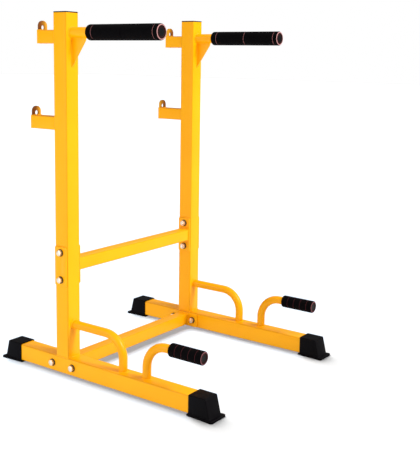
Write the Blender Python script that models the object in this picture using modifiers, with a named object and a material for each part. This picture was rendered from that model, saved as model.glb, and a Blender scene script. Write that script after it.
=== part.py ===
"""Squat rack: two steel side frames joined by two bolted crossbars.

Each side frame has a floor tube in rubber feet, a post with two hooks for a bar behind it, a dip handle in
front, a bent brace at the foot of the post and a low push-up handle. The origin is on the floor at the middle
of the footprint, +X to the right, -Y to the front where the handles are, +Z up. All sizes are in metres.
"""

import math

import bmesh
import bpy
from mathutils import Matrix

# Driving sizes
OVERALL_DEPTH = 0.802  # from lip to lip of the feet
FRAME_SPACING = 0.585  # between the middle planes of the side frames
POST_FROM_REAR = 0.256  # post's middle from the rear foot's lip
POST_TOP = 1.049
GAP = 0.0003  # left between pieces that touch

# Square tube of the posts and floor tubes
TUBE_SIDE = 0.050
TUBE_WALL = 0.002
TUBE_CORNER = 0.004
FLOOR_TUBE_HEIGHT = 0.030  # its middle above the floor

# Square tube of the crossbars and hook arms
SLIM_SIDE = 0.038
SLIM_WALL = 0.0015
SLIM_CORNER = 0.003
CORNER_STEPS = 3

# Rubber feet
FOOT_LENGTH = 0.080  # from the sleeve's rim to the lip
FOOT_TOP_LENGTH = 0.055
FOOT_TUBE_DEPTH = 0.050  # how far the tube reaches in
FOOT_HALF_WIDTH = 0.0275
FOOT_TOP = 0.058
FOOT_FACE_SLOPE = 0.013  # how far the end face leans out at the lip
FOOT_ROUNDING = 0.0025
SOLE_THICKNESS = 0.0055
SOLE_TONGUE = 0.005  # how far the sole runs past the sleeve's rim
SOLE_INNER_HALF_WIDTH = 0.0285
SOLE_LIP_HALF_WIDTH = 0.034
SOLE_LIP_CORNER = 0.007
SOLE_ROUNDING = 0.001
SLEEVE_IN_SOLE = 0.001  # height above the floor where the sleeve's outline starts, inside the sole

# Post cap
CAP_RIM = 0.003
CAP_ROUNDING = 0.0012
CAP_SHANK_DEPTH = 0.022
CAP_SHANK_WALL = 0.0025

# Hooks for the bar, behind the post
HOOK_HEIGHTS = {"upper": 0.983, "lower": 0.739}  # middle of each arm
HOOK_REACHES = {"upper": 0.0965, "lower": 0.1265}  # rear face of each end plate, from the post's middle
HOOK_PLATE_THICKNESS = 0.006
HOOK_PLATE_RISE = 0.0265  # above the arm
HOOK_HOLE_RADIUS = 0.005

# Dip handle, in front of the post
DIP_HEIGHT = 0.9945
DIP_TUBE_RADIUS = 0.015
DIP_TUBE_WALL = 0.002
DIP_GRIP_START = 0.093  # distances from the post's middle
DIP_GRIP_END = 0.346
DIP_GRIP_RADIUS = 0.022
DIP_RINGS = (0.114, 0.222, 0.331)
GUSSET_THICKNESS = 0.0045
GUSSET_REACH = 0.077
GUSSET_FRONT_DROP = 0.0065  # height of its short front edge
GUSSET_FOOT = 0.900  # its lowest point, at the post

# Bent tubes
BENT_RADIUS = 0.0125
BENT_WALL = 0.0018
BRACE_HEIGHT = 0.1535  # middle of its level run
BRACE_LEG = 0.216  # middle of its leg, from the post's middle
BRACE_BEND = 0.065
PUSH_UP_HEIGHT = 0.1556
PUSH_UP_LEG = 0.3025
PUSH_UP_BEND = 0.068
PUSH_UP_GRIP_START = 0.387
PUSH_UP_GRIP_END = 0.497
PUSH_UP_GRIP_RADIUS = 0.019
PUSH_UP_FIRST_RING = 0.410
PUSH_UP_RING_PITCH = 0.0225
PUSH_UP_RING_COUNT = 4

# Foam sleeves on the handles
GRIP_END_ROUNDING = 0.004
RING_DEPTH = 0.0008  # shallow groove that holds a coloured ring
RING_WIDTH = 0.0024

# Plugs in the open tube ends inside the grips
PLUG_FLANGE = 0.003
PLUG_OVERHANG = 0.0025  # how far its flange stands past the tube's outside
PLUG_SHANK = 0.018

# Bolted joints
CROSSBAR_HEIGHTS = {"middle": 0.328, "lower": FLOOR_TUBE_HEIGHT}
BOLT_OFFSET = 0.0402  # each bolt from the crossbar's middle
PLATE_THICKNESS = 0.004
PLATE_WIDTH = 0.046
PLATE_LENGTHS = {"middle": 0.115, "lower": 0.120}
PLATE_CORNER = 0.004
BACKING_THICKNESS = 0.003
BOLT_RADIUS = 0.005
BOLT_HOLE_RADIUS = 0.0055
WASHER_RADIUS = 0.011
WASHER_THICKNESS = 0.002
HEX_ACROSS_FLATS = 0.017
HEAD_HEIGHT = 0.007
HEAD_TURN = 15  # degrees, as the heads happen to stand
NUT_HEIGHT = 0.0084
NUT_TURN = 40
THREAD_SHOWING = 0.003

# Facets
TURNED_SIDES = 20
HOLE_SIDES = 12
HOOK_ARC_STEPS = 12
SOLE_CORNER_STEPS = 4
BEND_STEPS = 7
TUBE_BEVEL_RESOLUTION = 6
MERGE_DISTANCE = 0.00001

HALF_TUBE = TUBE_SIDE / 2
HALF_SLIM = SLIM_SIDE / 2
POST_Y = OVERALL_DEPTH / 2 - POST_FROM_REAR
FLOOR_TUBE_TOP = FLOOR_TUBE_HEIGHT + HALF_TUBE
SIDES = {"left": -1, "right": 1}
ALONG_X = (0, math.radians(90), 0)  # turns a piece's own +Z to the right
ALONG_Y = (math.radians(90), 0, 0)  # turns a piece's own +Z to the front
FACING_X = (math.radians(90), 0, math.radians(90))  # stands a flat outline up, its face to the right


def clear_scene():
    for old in list(bpy.data.objects):
        bpy.data.objects.remove(old)


def collection(name):
    made = bpy.data.collections.new(name)
    bpy.context.scene.collection.children.link(made)
    return made


def material(name, colour, roughness, metallic=0.0):
    made = bpy.data.materials.new(name)
    made.use_nodes = True
    shader = made.node_tree.nodes["Principled BSDF"]
    shader.inputs["Base Color"].default_value = (*colour, 1)
    shader.inputs["Roughness"].default_value = roughness
    shader.inputs["Metallic"].default_value = metallic
    made.diffuse_color = (*colour, 1)
    return made


clear_scene()
PARTS = collection("squat_rack")
CUTTERS = collection("cutters")
POWDER_COAT = material("yellow_powder_coat", (0.95, 0.52, 0.02), 0.3)
RUBBER = material("black_rubber", (0.012, 0.012, 0.014), 0.6)
PLASTIC = material("black_plastic", (0.02, 0.02, 0.022), 0.4)
FOAM = material("black_foam", (0.015, 0.012, 0.013), 0.85)
ZINC = material("bright_zinc", (0.75, 0.75, 0.76), 0.25, 1.0)


def place(name, data, finish, parent, at, turn=(0, 0, 0), into=None):
    """An object of this data, placed under its parent."""
    obj = bpy.data.objects.new(name, data)
    (into or PARTS).objects.link(obj)
    obj.location = at
    obj.rotation_euler = turn
    obj.parent = parent
    if finish:
        data.materials.append(finish)
    return obj


def mesh_from(bm, name):
    bmesh.ops.recalc_face_normals(bm, faces=bm.faces)
    mesh = bpy.data.meshes.new(name)
    bm.to_mesh(mesh)
    bm.free()
    return mesh


def cylinder_mesh(name, radius, low, high, sides, turn=0.0):
    """A closed cylinder along Z between two heights."""
    bm = bmesh.new()
    stand = Matrix.Translation((0, 0, (low + high) / 2)) @ Matrix.Rotation(turn, 4, "Z")
    bmesh.ops.create_cone(
        bm, cap_ends=True, segments=sides, radius1=radius, radius2=radius, depth=high - low, matrix=stand
    )
    return mesh_from(bm, name)


def rounded_bar(side, corner, low, high):
    """A square bar along Z between two heights, with its four long edges rounded."""
    bm = bmesh.new()
    bmesh.ops.create_cube(bm, size=1)
    bmesh.ops.scale(bm, verts=bm.verts, vec=(side, side, high - low))
    bmesh.ops.translate(bm, verts=bm.verts, vec=(0, 0, (low + high) / 2))
    long_edges = [e for e in bm.edges if abs(e.verts[0].co.z - e.verts[1].co.z) > (high - low) / 2]
    bmesh.ops.bevel(bm, geom=long_edges, offset=corner, segments=CORNER_STEPS, profile=0.5, affect="EDGES")
    return bm


def bevel(obj, width, steps):
    rounding = obj.modifiers.new("rounding", "BEVEL")
    rounding.width = width
    rounding.segments = steps
    rounding.limit_method = "ANGLE"
    rounding.angle_limit = math.radians(40)


def solidify(obj, wall):
    """A wall inside the surface."""
    shell = obj.modifiers.new("wall", "SOLIDIFY")
    shell.thickness = wall
    shell.offset = -1
    shell.use_even_offset = True


def boolean(obj, other, operation):
    step = obj.modifiers.new(operation.lower(), "BOOLEAN")
    step.operation = operation
    step.solver = "EXACT"
    step.object = other


def cutter(name, data, parent, at, turn=(0, 0, 0)):
    """A hidden helper that a Boolean cuts with or adds."""
    obj = place(name, data, None, parent, at, turn, CUTTERS)
    obj.hide_render = True
    obj.display_type = "WIRE"
    return obj


def square_tube(name, side, wall, corner, length, parent, at, turn):
    """Hollow square tube, open at both ends, with rounded long edges; it runs along its own Z."""
    bm = bmesh.new()
    bmesh.ops.create_cube(bm, size=1)
    ends = [face for face in bm.faces if abs(face.normal.z) > 0.9]
    bmesh.ops.delete(bm, geom=ends, context="FACES_ONLY")
    bmesh.ops.scale(bm, verts=bm.verts, vec=(side, side, length))
    mesh = bpy.data.meshes.new(name)
    bm.to_mesh(mesh)
    bm.free()
    tube = place(name, mesh, POWDER_COAT, parent, at, turn)
    bevel(tube, corner, CORNER_STEPS)
    solidify(tube, wall)
    return tube


def round_tube(name, points, radius, wall, parent):
    """Hollow round tube along these points, open at both ends."""
    curve = bpy.data.curves.new(name, "CURVE")
    curve.dimensions = "3D"
    curve.bevel_depth = radius
    curve.bevel_resolution = TUBE_BEVEL_RESOLUTION
    curve.use_fill_caps = False
    spline = curve.splines.new("POLY")
    spline.points.add(len(points) - 1)
    for point, place_at in zip(spline.points, points):
        point.co = (*place_at, 1)
    tube = place(name, curve, POWDER_COAT, parent, (0, 0, 0))
    solidify(tube, wall)
    return tube


def arc(centre, radius, start, end, steps):
    """Points on a circle, from one angle to another in degrees."""
    angles = [math.radians(start + (end - start) * step / steps) for step in range(steps + 1)]
    return [(centre[0] + radius * math.cos(a), centre[1] + radius * math.sin(a)) for a in angles]


def circle(centre, radius, sides=HOLE_SIDES):
    return arc(centre, radius, 0, 360, sides)[:-1]


def rounded_box(half_width, half_height, corner):
    points = []
    for start, (sx, sy) in zip((0, 90, 180, 270), ((1, 1), (-1, 1), (-1, -1), (1, -1))):
        centre = (sx * (half_width - corner), sy * (half_height - corner))
        points += arc(centre, corner, start, start + 90, CORNER_STEPS)
    return points


def flat_piece(name, outlines, thickness, finish, parent, at, turn, into=None):
    """A plate: the first outline is its edge, and the others are holes in it."""
    curve = bpy.data.curves.new(name, "CURVE")
    curve.dimensions = "2D"
    curve.fill_mode = "BOTH"
    curve.extrude = thickness / 2
    for outline in outlines:
        spline = curve.splines.new("POLY")
        spline.points.add(len(outline) - 1)
        for point, (x, y) in zip(spline.points, outline):
            point.co = (x, y, 0, 1)
        spline.use_cyclic_u = True
    plate = place(name, curve, finish, parent, at, turn, into)
    weld = plate.modifiers.new("weld", "WELD")  # joins the flat faces to the edge
    weld.merge_threshold = MERGE_DISTANCE
    return plate


def turned_piece(name, profile, finish, parent, at, closed=False):
    """A turned piece that points forward: (radius, height) pairs down its outer side, spun about its own Z."""
    mesh = bpy.data.meshes.new(name)
    edges = [(i, i + 1) for i in range(len(profile) - 1)]
    if closed:
        edges.append((len(profile) - 1, 0))
    mesh.from_pydata([(radius, 0, height) for radius, height in profile], edges, [])
    piece = place(name, mesh, finish, parent, at, ALONG_Y)
    screw = piece.modifiers.new("turning", "SCREW")
    screw.steps = screw.render_steps = TURNED_SIDES
    screw.use_merge_vertices = True
    screw.merge_threshold = MERGE_DISTANCE
    screw.use_smooth_shade = True


def bolt_holes(obj, joint, side, parent):
    """Cuts the two bolt holes of a joint right through a tube, and keeps their cutter."""
    for number, (y, z) in enumerate(bolt_places(joint), 1):
        name = f"{side}_{joint}_hole_{number}"
        drill = bpy.data.objects.get(name)
        if drill is None:
            mesh = cylinder_mesh(name, BOLT_HOLE_RADIUS, -TUBE_SIDE, TUBE_SIDE, HOLE_SIDES)
            drill = cutter(name, mesh, parent, (0, y, z), ALONG_X)
        boolean(obj, drill, "DIFFERENCE")


def bolt_places(joint):
    """(y, z) of a joint's two bolts: one above the other on the post, side by side on the floor tube."""
    z = CROSSBAR_HEIGHTS[joint]
    if joint == "middle":
        return [(0, z + BOLT_OFFSET), (0, z - BOLT_OFFSET)]
    return [(BOLT_OFFSET, z), (-BOLT_OFFSET, z)]


def floor_tube(side, frame):
    rear = POST_FROM_REAR - FOOT_LENGTH + FOOT_TUBE_DEPTH
    length = OVERALL_DEPTH - 2 * (FOOT_LENGTH - FOOT_TUBE_DEPTH)
    at = (0, rear - length / 2, FLOOR_TUBE_HEIGHT)
    tube = square_tube(f"{side}_floor_tube", TUBE_SIDE, TUBE_WALL, TUBE_CORNER, length, frame, at, ALONG_Y)
    bolt_holes(tube, "lower", side, frame)


def post(side, frame):
    length = POST_TOP - FLOOR_TUBE_TOP - GAP
    at = (0, 0, POST_TOP - length / 2)
    tube = square_tube(f"{side}_post", TUBE_SIDE, TUBE_WALL, TUBE_CORNER, length, frame, at, (0, 0, 0))
    bolt_holes(tube, "middle", side, frame)


def post_cap(side, frame):
    """A plastic plug: a rim over the tube's end, and a shank inside it, pulled down and then hollowed."""
    bm = rounded_bar(TUBE_SIDE, TUBE_CORNER, 0, CAP_RIM)
    top_ring = [e for e in bm.edges if all(v.co.z > CAP_RIM / 2 for v in e.verts)]
    bmesh.ops.bevel(bm, geom=top_ring, offset=CAP_ROUNDING, segments=2, profile=0.5, affect="EDGES")
    hollow = CAP_SHANK_DEPTH - CAP_SHANK_WALL
    for inset, pull in ((TUBE_WALL + GAP, -CAP_SHANK_DEPTH), (CAP_SHANK_WALL, hollow)):
        downward = [face for face in bm.faces if face.normal.z < -0.9]
        under = min(downward, key=lambda face: face.calc_center_median().z)
        bmesh.ops.inset_region(bm, faces=[under], thickness=inset, use_even_offset=True)
        pulled = bmesh.ops.extrude_face_region(bm, geom=[under])
        moved = [v for v in pulled["geom"] if isinstance(v, bmesh.types.BMVert)]
        bmesh.ops.delete(bm, geom=[under], context="FACES_ONLY")
        bmesh.ops.translate(bm, verts=moved, vec=(0, 0, pull))
    place(f"{side}_post_cap", mesh_from(bm, "post_cap"), PLASTIC, frame, (0, 0, POST_TOP + GAP))


def hook(side, level, frame):
    """A square arm behind the post, and the plate on its end that keeps the bar from rolling off."""
    z, reach = HOOK_HEIGHTS[level], HOOK_REACHES[level]
    start = HALF_TUBE + GAP
    plate_y = reach - HOOK_PLATE_THICKNESS / 2
    end = reach - HOOK_PLATE_THICKNESS - GAP
    at = (0, (start + end) / 2, z)
    name = f"{side}_{level}_hook_arm"
    square_tube(name, SLIM_SIDE, SLIM_WALL, SLIM_CORNER, end - start, frame, at, ALONG_Y)
    round_top = (0, HOOK_PLATE_RISE)  # its middle; the radius is the arm's half width
    outline = [(-HALF_SLIM, -HALF_SLIM), (HALF_SLIM, -HALF_SLIM)]
    outline += arc(round_top, HALF_SLIM, 0, 180, HOOK_ARC_STEPS)
    outlines = [outline, circle(round_top, HOOK_HOLE_RADIUS)]
    at = (0, plate_y, z)
    flat_piece(f"{side}_{level}_hook_plate", outlines, HOOK_PLATE_THICKNESS, POWDER_COAT, frame, at, ALONG_Y)


def dip_handle(side, frame):
    """A straight tube in front of the post, a gusset under it, a foam sleeve on it and a plug in its end."""
    start = -(HALF_TUBE + GAP)
    tube_end = -(DIP_GRIP_END - PLUG_FLANGE)
    ends = [(0, start, DIP_HEIGHT), (0, tube_end + GAP, DIP_HEIGHT)]
    round_tube(f"{side}_dip_tube", ends, DIP_TUBE_RADIUS, DIP_TUBE_WALL, frame)
    top = DIP_HEIGHT - DIP_TUBE_RADIUS - GAP
    front = -GUSSET_REACH
    outline = [(start, top), (start, GUSSET_FOOT), (front, top - GUSSET_FRONT_DROP), (front, top)]
    flat_piece(f"{side}_dip_gusset", [outline], GUSSET_THICKNESS, POWDER_COAT, frame, (0, 0, 0), FACING_X)
    span = (DIP_GRIP_START, DIP_GRIP_END)
    grip_sleeve(f"{side}_dip_grip", DIP_GRIP_RADIUS, DIP_TUBE_RADIUS, span, DIP_RINGS, frame, DIP_HEIGHT)
    end_plug(f"{side}_dip_end_plug", DIP_TUBE_RADIUS, DIP_TUBE_WALL, frame, (0, tube_end, DIP_HEIGHT))


def grip_sleeve(name, radius, bore, span, rings, parent, height):
    """A foam sleeve with rounded ends and ring grooves; its front end is recessed for the plug's flange.

    The span and the rings are distances in front of the post.
    """
    length = span[1] - span[0]
    inner = bore + GAP
    pocket = bore + PLUG_OVERHANG + GAP
    shoulder = radius - GRIP_END_ROUNDING
    profile = [(pocket, 0), *arc((shoulder, -GRIP_END_ROUNDING), GRIP_END_ROUNDING, 90, 0, 2)]
    for ring in sorted(rings, reverse=True):
        back = span[1] - ring
        profile += [
            (radius, -back + RING_WIDTH / 2),
            (radius - RING_DEPTH, -back),
            (radius, -back - RING_WIDTH / 2),
        ]
    profile += arc((shoulder, -length + GRIP_END_ROUNDING), GRIP_END_ROUNDING, 0, -90, 2)
    profile += [(inner, -length), (inner, -PLUG_FLANGE - GAP), (pocket, -PLUG_FLANGE - GAP)]
    turned_piece(name, profile, FOAM, parent, (0, -span[1], height), closed=True)


def end_plug(name, tube_radius, wall, parent, tube_end):
    """A plug whose flange covers the tube's end, with a shank inside the tube."""
    flange = tube_radius + PLUG_OVERHANG
    shank = tube_radius - wall - GAP
    profile = [
        (0, PLUG_FLANGE),
        (flange - CAP_ROUNDING, PLUG_FLANGE),
        (flange, PLUG_FLANGE - CAP_ROUNDING),
        (flange, 0),
        (shank, 0),
        (shank, -PLUG_SHANK + CAP_ROUNDING),
        (shank - CAP_ROUNDING, -PLUG_SHANK),
        (0, -PLUG_SHANK),
    ]
    turned_piece(name, profile, PLASTIC, parent, tube_end)


def bend_points(leg, height, radius, toward_front):
    """The quarter bend between a leg that stands at y = -leg and a level run, from the leg up."""
    sign = -1 if toward_front else 1
    centre = (-leg + sign * radius, height - radius)
    start, end = (0, 90) if toward_front else (180, 90)
    return [(0, y, z) for y, z in arc(centre, radius, start, end, BEND_STEPS)]


def brace(side, frame):
    foot = (0, -BRACE_LEG, FLOOR_TUBE_TOP + GAP)
    bend = bend_points(BRACE_LEG, BRACE_HEIGHT, BRACE_BEND, toward_front=False)
    end = (0, -(HALF_TUBE + GAP), BRACE_HEIGHT)
    round_tube(f"{side}_brace", [foot, *bend, end], BENT_RADIUS, BENT_WALL, frame)


def push_up_handle(side, frame):
    """A bent tube on the floor tube, with a foam sleeve and a plug in its end."""
    foot = (0, -PUSH_UP_LEG, FLOOR_TUBE_TOP + GAP)
    bend = bend_points(PUSH_UP_LEG, PUSH_UP_HEIGHT, PUSH_UP_BEND, toward_front=True)
    tube_end = -(PUSH_UP_GRIP_END - PLUG_FLANGE)
    end = (0, tube_end + GAP, PUSH_UP_HEIGHT)
    round_tube(f"{side}_push_up_handle", [foot, *bend, end], BENT_RADIUS, BENT_WALL, frame)
    span = (PUSH_UP_GRIP_START, PUSH_UP_GRIP_END)
    rings = [PUSH_UP_FIRST_RING + ring * PUSH_UP_RING_PITCH for ring in range(PUSH_UP_RING_COUNT)]
    name = f"{side}_push_up_grip"
    grip_sleeve(name, PUSH_UP_GRIP_RADIUS, BENT_RADIUS, span, rings, frame, PUSH_UP_HEIGHT)
    end_plug(f"{side}_push_up_end_plug", BENT_RADIUS, BENT_WALL, frame, (0, tube_end, PUSH_UP_HEIGHT))


def foot(side, end, frame):
    """A rubber cap: a sleeve with a leaning end face on a wider sole, hollowed for the tube."""
    toward = 1 if end == "rear" else -1
    lip = POST_FROM_REAR if end == "rear" else POST_FROM_REAR - OVERALL_DEPTH
    rim = lip - toward * FOOT_LENGTH
    name = f"{side}_{end}_foot"
    face_foot = FOOT_TOP_LENGTH + FOOT_FACE_SLOPE
    outline = [(0, FOOT_TOP), (0, SLEEVE_IN_SOLE), (face_foot, SLEEVE_IN_SOLE)]
    outline += [(face_foot, SOLE_THICKNESS), (FOOT_TOP_LENGTH, FOOT_TOP)]
    outline = [(toward * y, z) for y, z in outline]
    at = (0, rim, 0)
    sleeve_curve = flat_piece(f"{name}_sleeve", [outline], 2 * FOOT_HALF_WIDTH, None, frame, at, FACING_X, CUTTERS)
    bevel(sleeve_curve, FOOT_ROUNDING, 2)
    sleeve = made_mesh(sleeve_curve, name, RUBBER)
    boolean(sleeve, foot_sole(f"{name}_sole", toward, rim, frame), "UNION")
    depth = FOOT_TUBE_DEPTH + GAP + SOLE_TONGUE + TUBE_SIDE  # runs out well past the tongue
    hollow = mesh_from(rounded_bar(TUBE_SIDE + 2 * GAP, TUBE_CORNER, -depth / 2, depth / 2), f"{name}_hollow")
    at = (0, rim + toward * (FOOT_TUBE_DEPTH + GAP - depth / 2), FLOOR_TUBE_HEIGHT)
    boolean(sleeve, cutter(hollow.name, hollow, frame, at, ALONG_Y), "DIFFERENCE")


def foot_sole(name, toward, rim, frame):
    """The flat sole, wider at the lip, with round corners there."""
    corner_y = FOOT_LENGTH - SOLE_LIP_CORNER
    half_lip = SOLE_LIP_HALF_WIDTH - SOLE_LIP_CORNER
    outline = [(SOLE_INNER_HALF_WIDTH, -SOLE_TONGUE)]
    outline += arc((half_lip, corner_y), SOLE_LIP_CORNER, 0, 90, SOLE_CORNER_STEPS)
    outline += arc((-half_lip, corner_y), SOLE_LIP_CORNER, 90, 180, SOLE_CORNER_STEPS)
    outline += [(-SOLE_INNER_HALF_WIDTH, -SOLE_TONGUE)]
    outline = [(x, toward * y) for x, y in outline]
    at = (0, rim, SOLE_THICKNESS / 2)
    curve = flat_piece(name, [outline], SOLE_THICKNESS, None, frame, at, (0, 0, 0), CUTTERS)
    bevel(curve, SOLE_ROUNDING, 1)
    return made_mesh(curve, name, None)


def made_mesh(curve_object, name, finish):
    """Turns a curve object into a mesh object in the same place, which can be cut or joined."""
    bpy.context.view_layer.update()
    shape = curve_object.evaluated_get(bpy.context.evaluated_depsgraph_get())
    mesh = bpy.data.meshes.new_from_object(shape)
    mesh.materials.clear()
    parent, at, turn = curve_object.parent, curve_object.location.copy(), curve_object.rotation_euler.copy()
    bpy.data.objects.remove(curve_object)
    if finish:
        return place(name, mesh, finish, parent, at, turn)
    return cutter(name, mesh, parent, at, turn)


def backing_plate(side, sign, frame):
    """The flat plate on the post's outer side, under the bolt heads."""
    holes = [circle((y, z - CROSSBAR_HEIGHTS["middle"]), BOLT_HOLE_RADIUS) for y, z in bolt_places("middle")]
    edge = rounded_box(PLATE_WIDTH / 2, PLATE_LENGTHS["middle"] / 2, PLATE_CORNER)
    x = sign * (HALF_TUBE + GAP + BACKING_THICKNESS / 2)
    at = (x, 0, CROSSBAR_HEIGHTS["middle"])
    flat_piece(f"{side}_backing_plate", [edge, *holes], BACKING_THICKNESS, POWDER_COAT, frame, at, FACING_X)


def crossbar(joint, rack):
    """A slim square tube across the rack, with a bolted plate on each end."""
    z = CROSSBAR_HEIGHTS[joint]
    plate_face = FRAME_SPACING / 2 - HALF_TUBE - GAP
    length = 2 * (plate_face - PLATE_THICKNESS - GAP)
    at = (0, POST_Y, z)
    square_tube(f"{joint}_crossbar", SLIM_SIDE, SLIM_WALL, SLIM_CORNER, length, rack, at, ALONG_X)
    half_y, half_z = PLATE_WIDTH / 2, PLATE_LENGTHS[joint] / 2
    if joint == "lower":
        half_y, half_z = half_z, half_y
    holes = [circle((y, height - z), BOLT_HOLE_RADIUS) for y, height in bolt_places(joint)]
    for side, sign in SIDES.items():
        x = sign * (plate_face - PLATE_THICKNESS / 2)
        edge = rounded_box(half_y, half_z, PLATE_CORNER)
        name = f"{joint}_crossbar_{side}_plate"
        flat_piece(name, [edge, *holes], PLATE_THICKNESS, POWDER_COAT, rack, (x, POST_Y, z), FACING_X)


def hexagon_mesh(name, low, high, turn):
    corner_radius = HEX_ACROSS_FLATS / 2 / math.cos(math.radians(30))
    return cylinder_mesh(name, corner_radius, low, high, 6, math.radians(turn))


def bolt(name, parent, at, turn, seat, end):
    """A washer on the frame, a hexagon head on it, and the shank through to the nut."""
    head_foot = seat + WASHER_THICKNESS / 2
    head_top = seat + WASHER_THICKNESS + HEAD_HEIGHT
    washer = cylinder_mesh(name, WASHER_RADIUS, seat, seat + WASHER_THICKNESS, TURNED_SIDES)
    piece = place(name, washer, ZINC, parent, at, turn)
    head = hexagon_mesh(f"{name}_head", head_foot, head_top, HEAD_TURN)
    shank = cylinder_mesh(f"{name}_shank", BOLT_RADIUS, end, head_foot, HOLE_SIDES)
    for mesh in (shank, head):
        boolean(piece, cutter(mesh.name, mesh, parent, at, turn), "UNION")


def nut(name, parent, at, turn, seat, end):
    """A washer on the crossbar's plate and a hexagon nut on it, with the bolt's hole through both."""
    washer = cylinder_mesh(name, WASHER_RADIUS, seat - WASHER_THICKNESS, seat, TURNED_SIDES)
    piece = place(name, washer, ZINC, parent, at, turn)
    body = hexagon_mesh(f"{name}_body", end, seat - WASHER_THICKNESS / 2, NUT_TURN)
    bore = cylinder_mesh(f"{name}_bore", BOLT_RADIUS + GAP, end - NUT_HEIGHT, 0, HOLE_SIDES)
    boolean(piece, cutter(body.name, body, parent, at, turn), "UNION")
    boolean(piece, cutter(bore.name, bore, parent, at, turn), "DIFFERENCE")


def fasteners(side, sign, joint, frame):
    """A joint's bolts from outside, and their nuts inside; each one's own +Z points to the outside."""
    head_seat = HALF_TUBE + GAP
    if joint == "middle":
        head_seat += BACKING_THICKNESS + GAP
    nut_seat = -(HALF_TUBE + GAP + PLATE_THICKNESS + GAP)
    nut_end = nut_seat - WASHER_THICKNESS - NUT_HEIGHT
    outward = (0, sign * math.radians(90), 0)
    for number, (y, z) in enumerate(bolt_places(joint), 1):
        at = (0, y, z)
        bolt(f"{side}_{joint}_bolt_{number}", frame, at, outward, head_seat, nut_end - THREAD_SHOWING)
        nut(f"{side}_{joint}_nut_{number}", frame, at, outward, nut_seat, nut_end)


def side_frame(side, sign, rack):
    frame = place(f"{side}_frame", None, None, rack, (sign * FRAME_SPACING / 2, POST_Y, 0))
    floor_tube(side, frame)
    post(side, frame)
    post_cap(side, frame)
    for level in HOOK_HEIGHTS:
        hook(side, level, frame)
    dip_handle(side, frame)
    brace(side, frame)
    push_up_handle(side, frame)
    for end in ("front", "rear"):
        foot(side, end, frame)
    backing_plate(side, sign, frame)
    for joint in CROSSBAR_HEIGHTS:
        fasteners(side, sign, joint, frame)


rack_empty = place("squat_rack_frame", None, None, None, (0, 0, 0))
for side_name, side_sign in SIDES.items():
    side_frame(side_name, side_sign, rack_empty)
for joint_name in CROSSBAR_HEIGHTS:
    crossbar(joint_name, rack_empty)
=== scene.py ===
"""The squat rack's visible surface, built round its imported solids, in a plain pale studio with soft light."""

import math

import bmesh
import bpy
from mathutils import Matrix, Vector


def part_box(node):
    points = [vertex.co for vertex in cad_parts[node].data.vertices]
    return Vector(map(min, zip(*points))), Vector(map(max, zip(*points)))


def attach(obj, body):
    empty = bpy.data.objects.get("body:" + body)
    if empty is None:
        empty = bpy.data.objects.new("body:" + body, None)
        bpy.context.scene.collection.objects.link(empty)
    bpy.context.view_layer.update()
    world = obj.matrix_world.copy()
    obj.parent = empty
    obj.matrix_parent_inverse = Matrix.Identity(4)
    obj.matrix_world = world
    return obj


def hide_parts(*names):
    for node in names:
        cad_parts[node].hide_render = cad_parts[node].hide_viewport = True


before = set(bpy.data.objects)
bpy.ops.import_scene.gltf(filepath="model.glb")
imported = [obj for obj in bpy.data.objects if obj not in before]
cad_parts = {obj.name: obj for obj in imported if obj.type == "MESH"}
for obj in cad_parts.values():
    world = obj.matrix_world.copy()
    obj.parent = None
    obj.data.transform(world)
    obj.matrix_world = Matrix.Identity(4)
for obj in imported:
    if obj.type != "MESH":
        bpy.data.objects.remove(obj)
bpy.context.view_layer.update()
bpy.ops.object.select_all(action="DESELECT")

# The studio: a plain pale floor under a white sky, and a camera that stands a little left of the rack and
# looks slightly down on it. The view was fitted to the straight edges of the tubes in the photograph.
IMAGE_HEIGHT = 469  # pixels
FOCAL_PIXELS = 837.9
OPTICAL_ROW = 178  # the image row that the lens points at
CAMERA_PLACE = (-1.9884, -1.5762, 0.9266)
HORIZONTAL_TURN = math.radians(-54.36)
DOWNWARD_TILT = math.radians(8.06)
ROLL = math.radians(0.91)
FLOOR_SIZE = 60

camera_data = bpy.data.cameras.new("camera")
camera_data.sensor_width = 36
camera_data.lens = FOCAL_PIXELS * camera_data.sensor_width / IMAGE_HEIGHT
camera_data.shift_y = (OPTICAL_ROW - IMAGE_HEIGHT / 2) / IMAGE_HEIGHT
camera = bpy.data.objects.new("camera", camera_data)
bpy.context.scene.collection.objects.link(camera)
camera.matrix_world = (
    Matrix.Translation(CAMERA_PLACE)
    @ Matrix.Rotation(HORIZONTAL_TURN, 4, "Z")
    @ Matrix.Rotation(math.radians(90) - DOWNWARD_TILT, 4, "X")
    @ Matrix.Rotation(ROLL, 4, "Z")
)
bpy.context.scene.camera = camera
bpy.context.scene.view_settings.view_transform = "Standard"

world = bpy.data.worlds.new("white_surround")
bpy.context.scene.world = world
world.use_nodes = True
world.node_tree.nodes["Background"].inputs["Color"].default_value = (1, 1, 1, 1)
world.cycles_visibility.diffuse = False  # the surround is seen; the lamps below do the lighting
world.cycles_visibility.glossy = False

bpy.ops.mesh.primitive_grid_add(size=FLOOR_SIZE, x_subdivisions=4, y_subdivisions=4)
floor = bpy.context.object
floor.name = "floor"
floor.select_set(False)

# The lamps: even far lights and two near softboxes. The floor has its own lamps, so that it is white without
# washing out the coat. The rack's shadow on it is a thin soft rim, wider at the front feet, and the dip
# handles hardly shade the posts, so done() picks the pieces that cast the shadows of some lamps.
floor_only = bpy.data.collections.new("floor_only")
floor_only.objects.link(floor)
all_but_floor = bpy.data.collections.new("all_but_floor")
all_but_floor.objects.link(floor)
all_but_floor.collection_objects[0].light_linking.link_state = "EXCLUDE"
all_but_dip_handles = bpy.data.collections.new("all_but_dip_handles")
lowest_pieces = bpy.data.collections.new("lowest_pieces")
front_feet = bpy.data.collections.new("front_feet")


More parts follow.
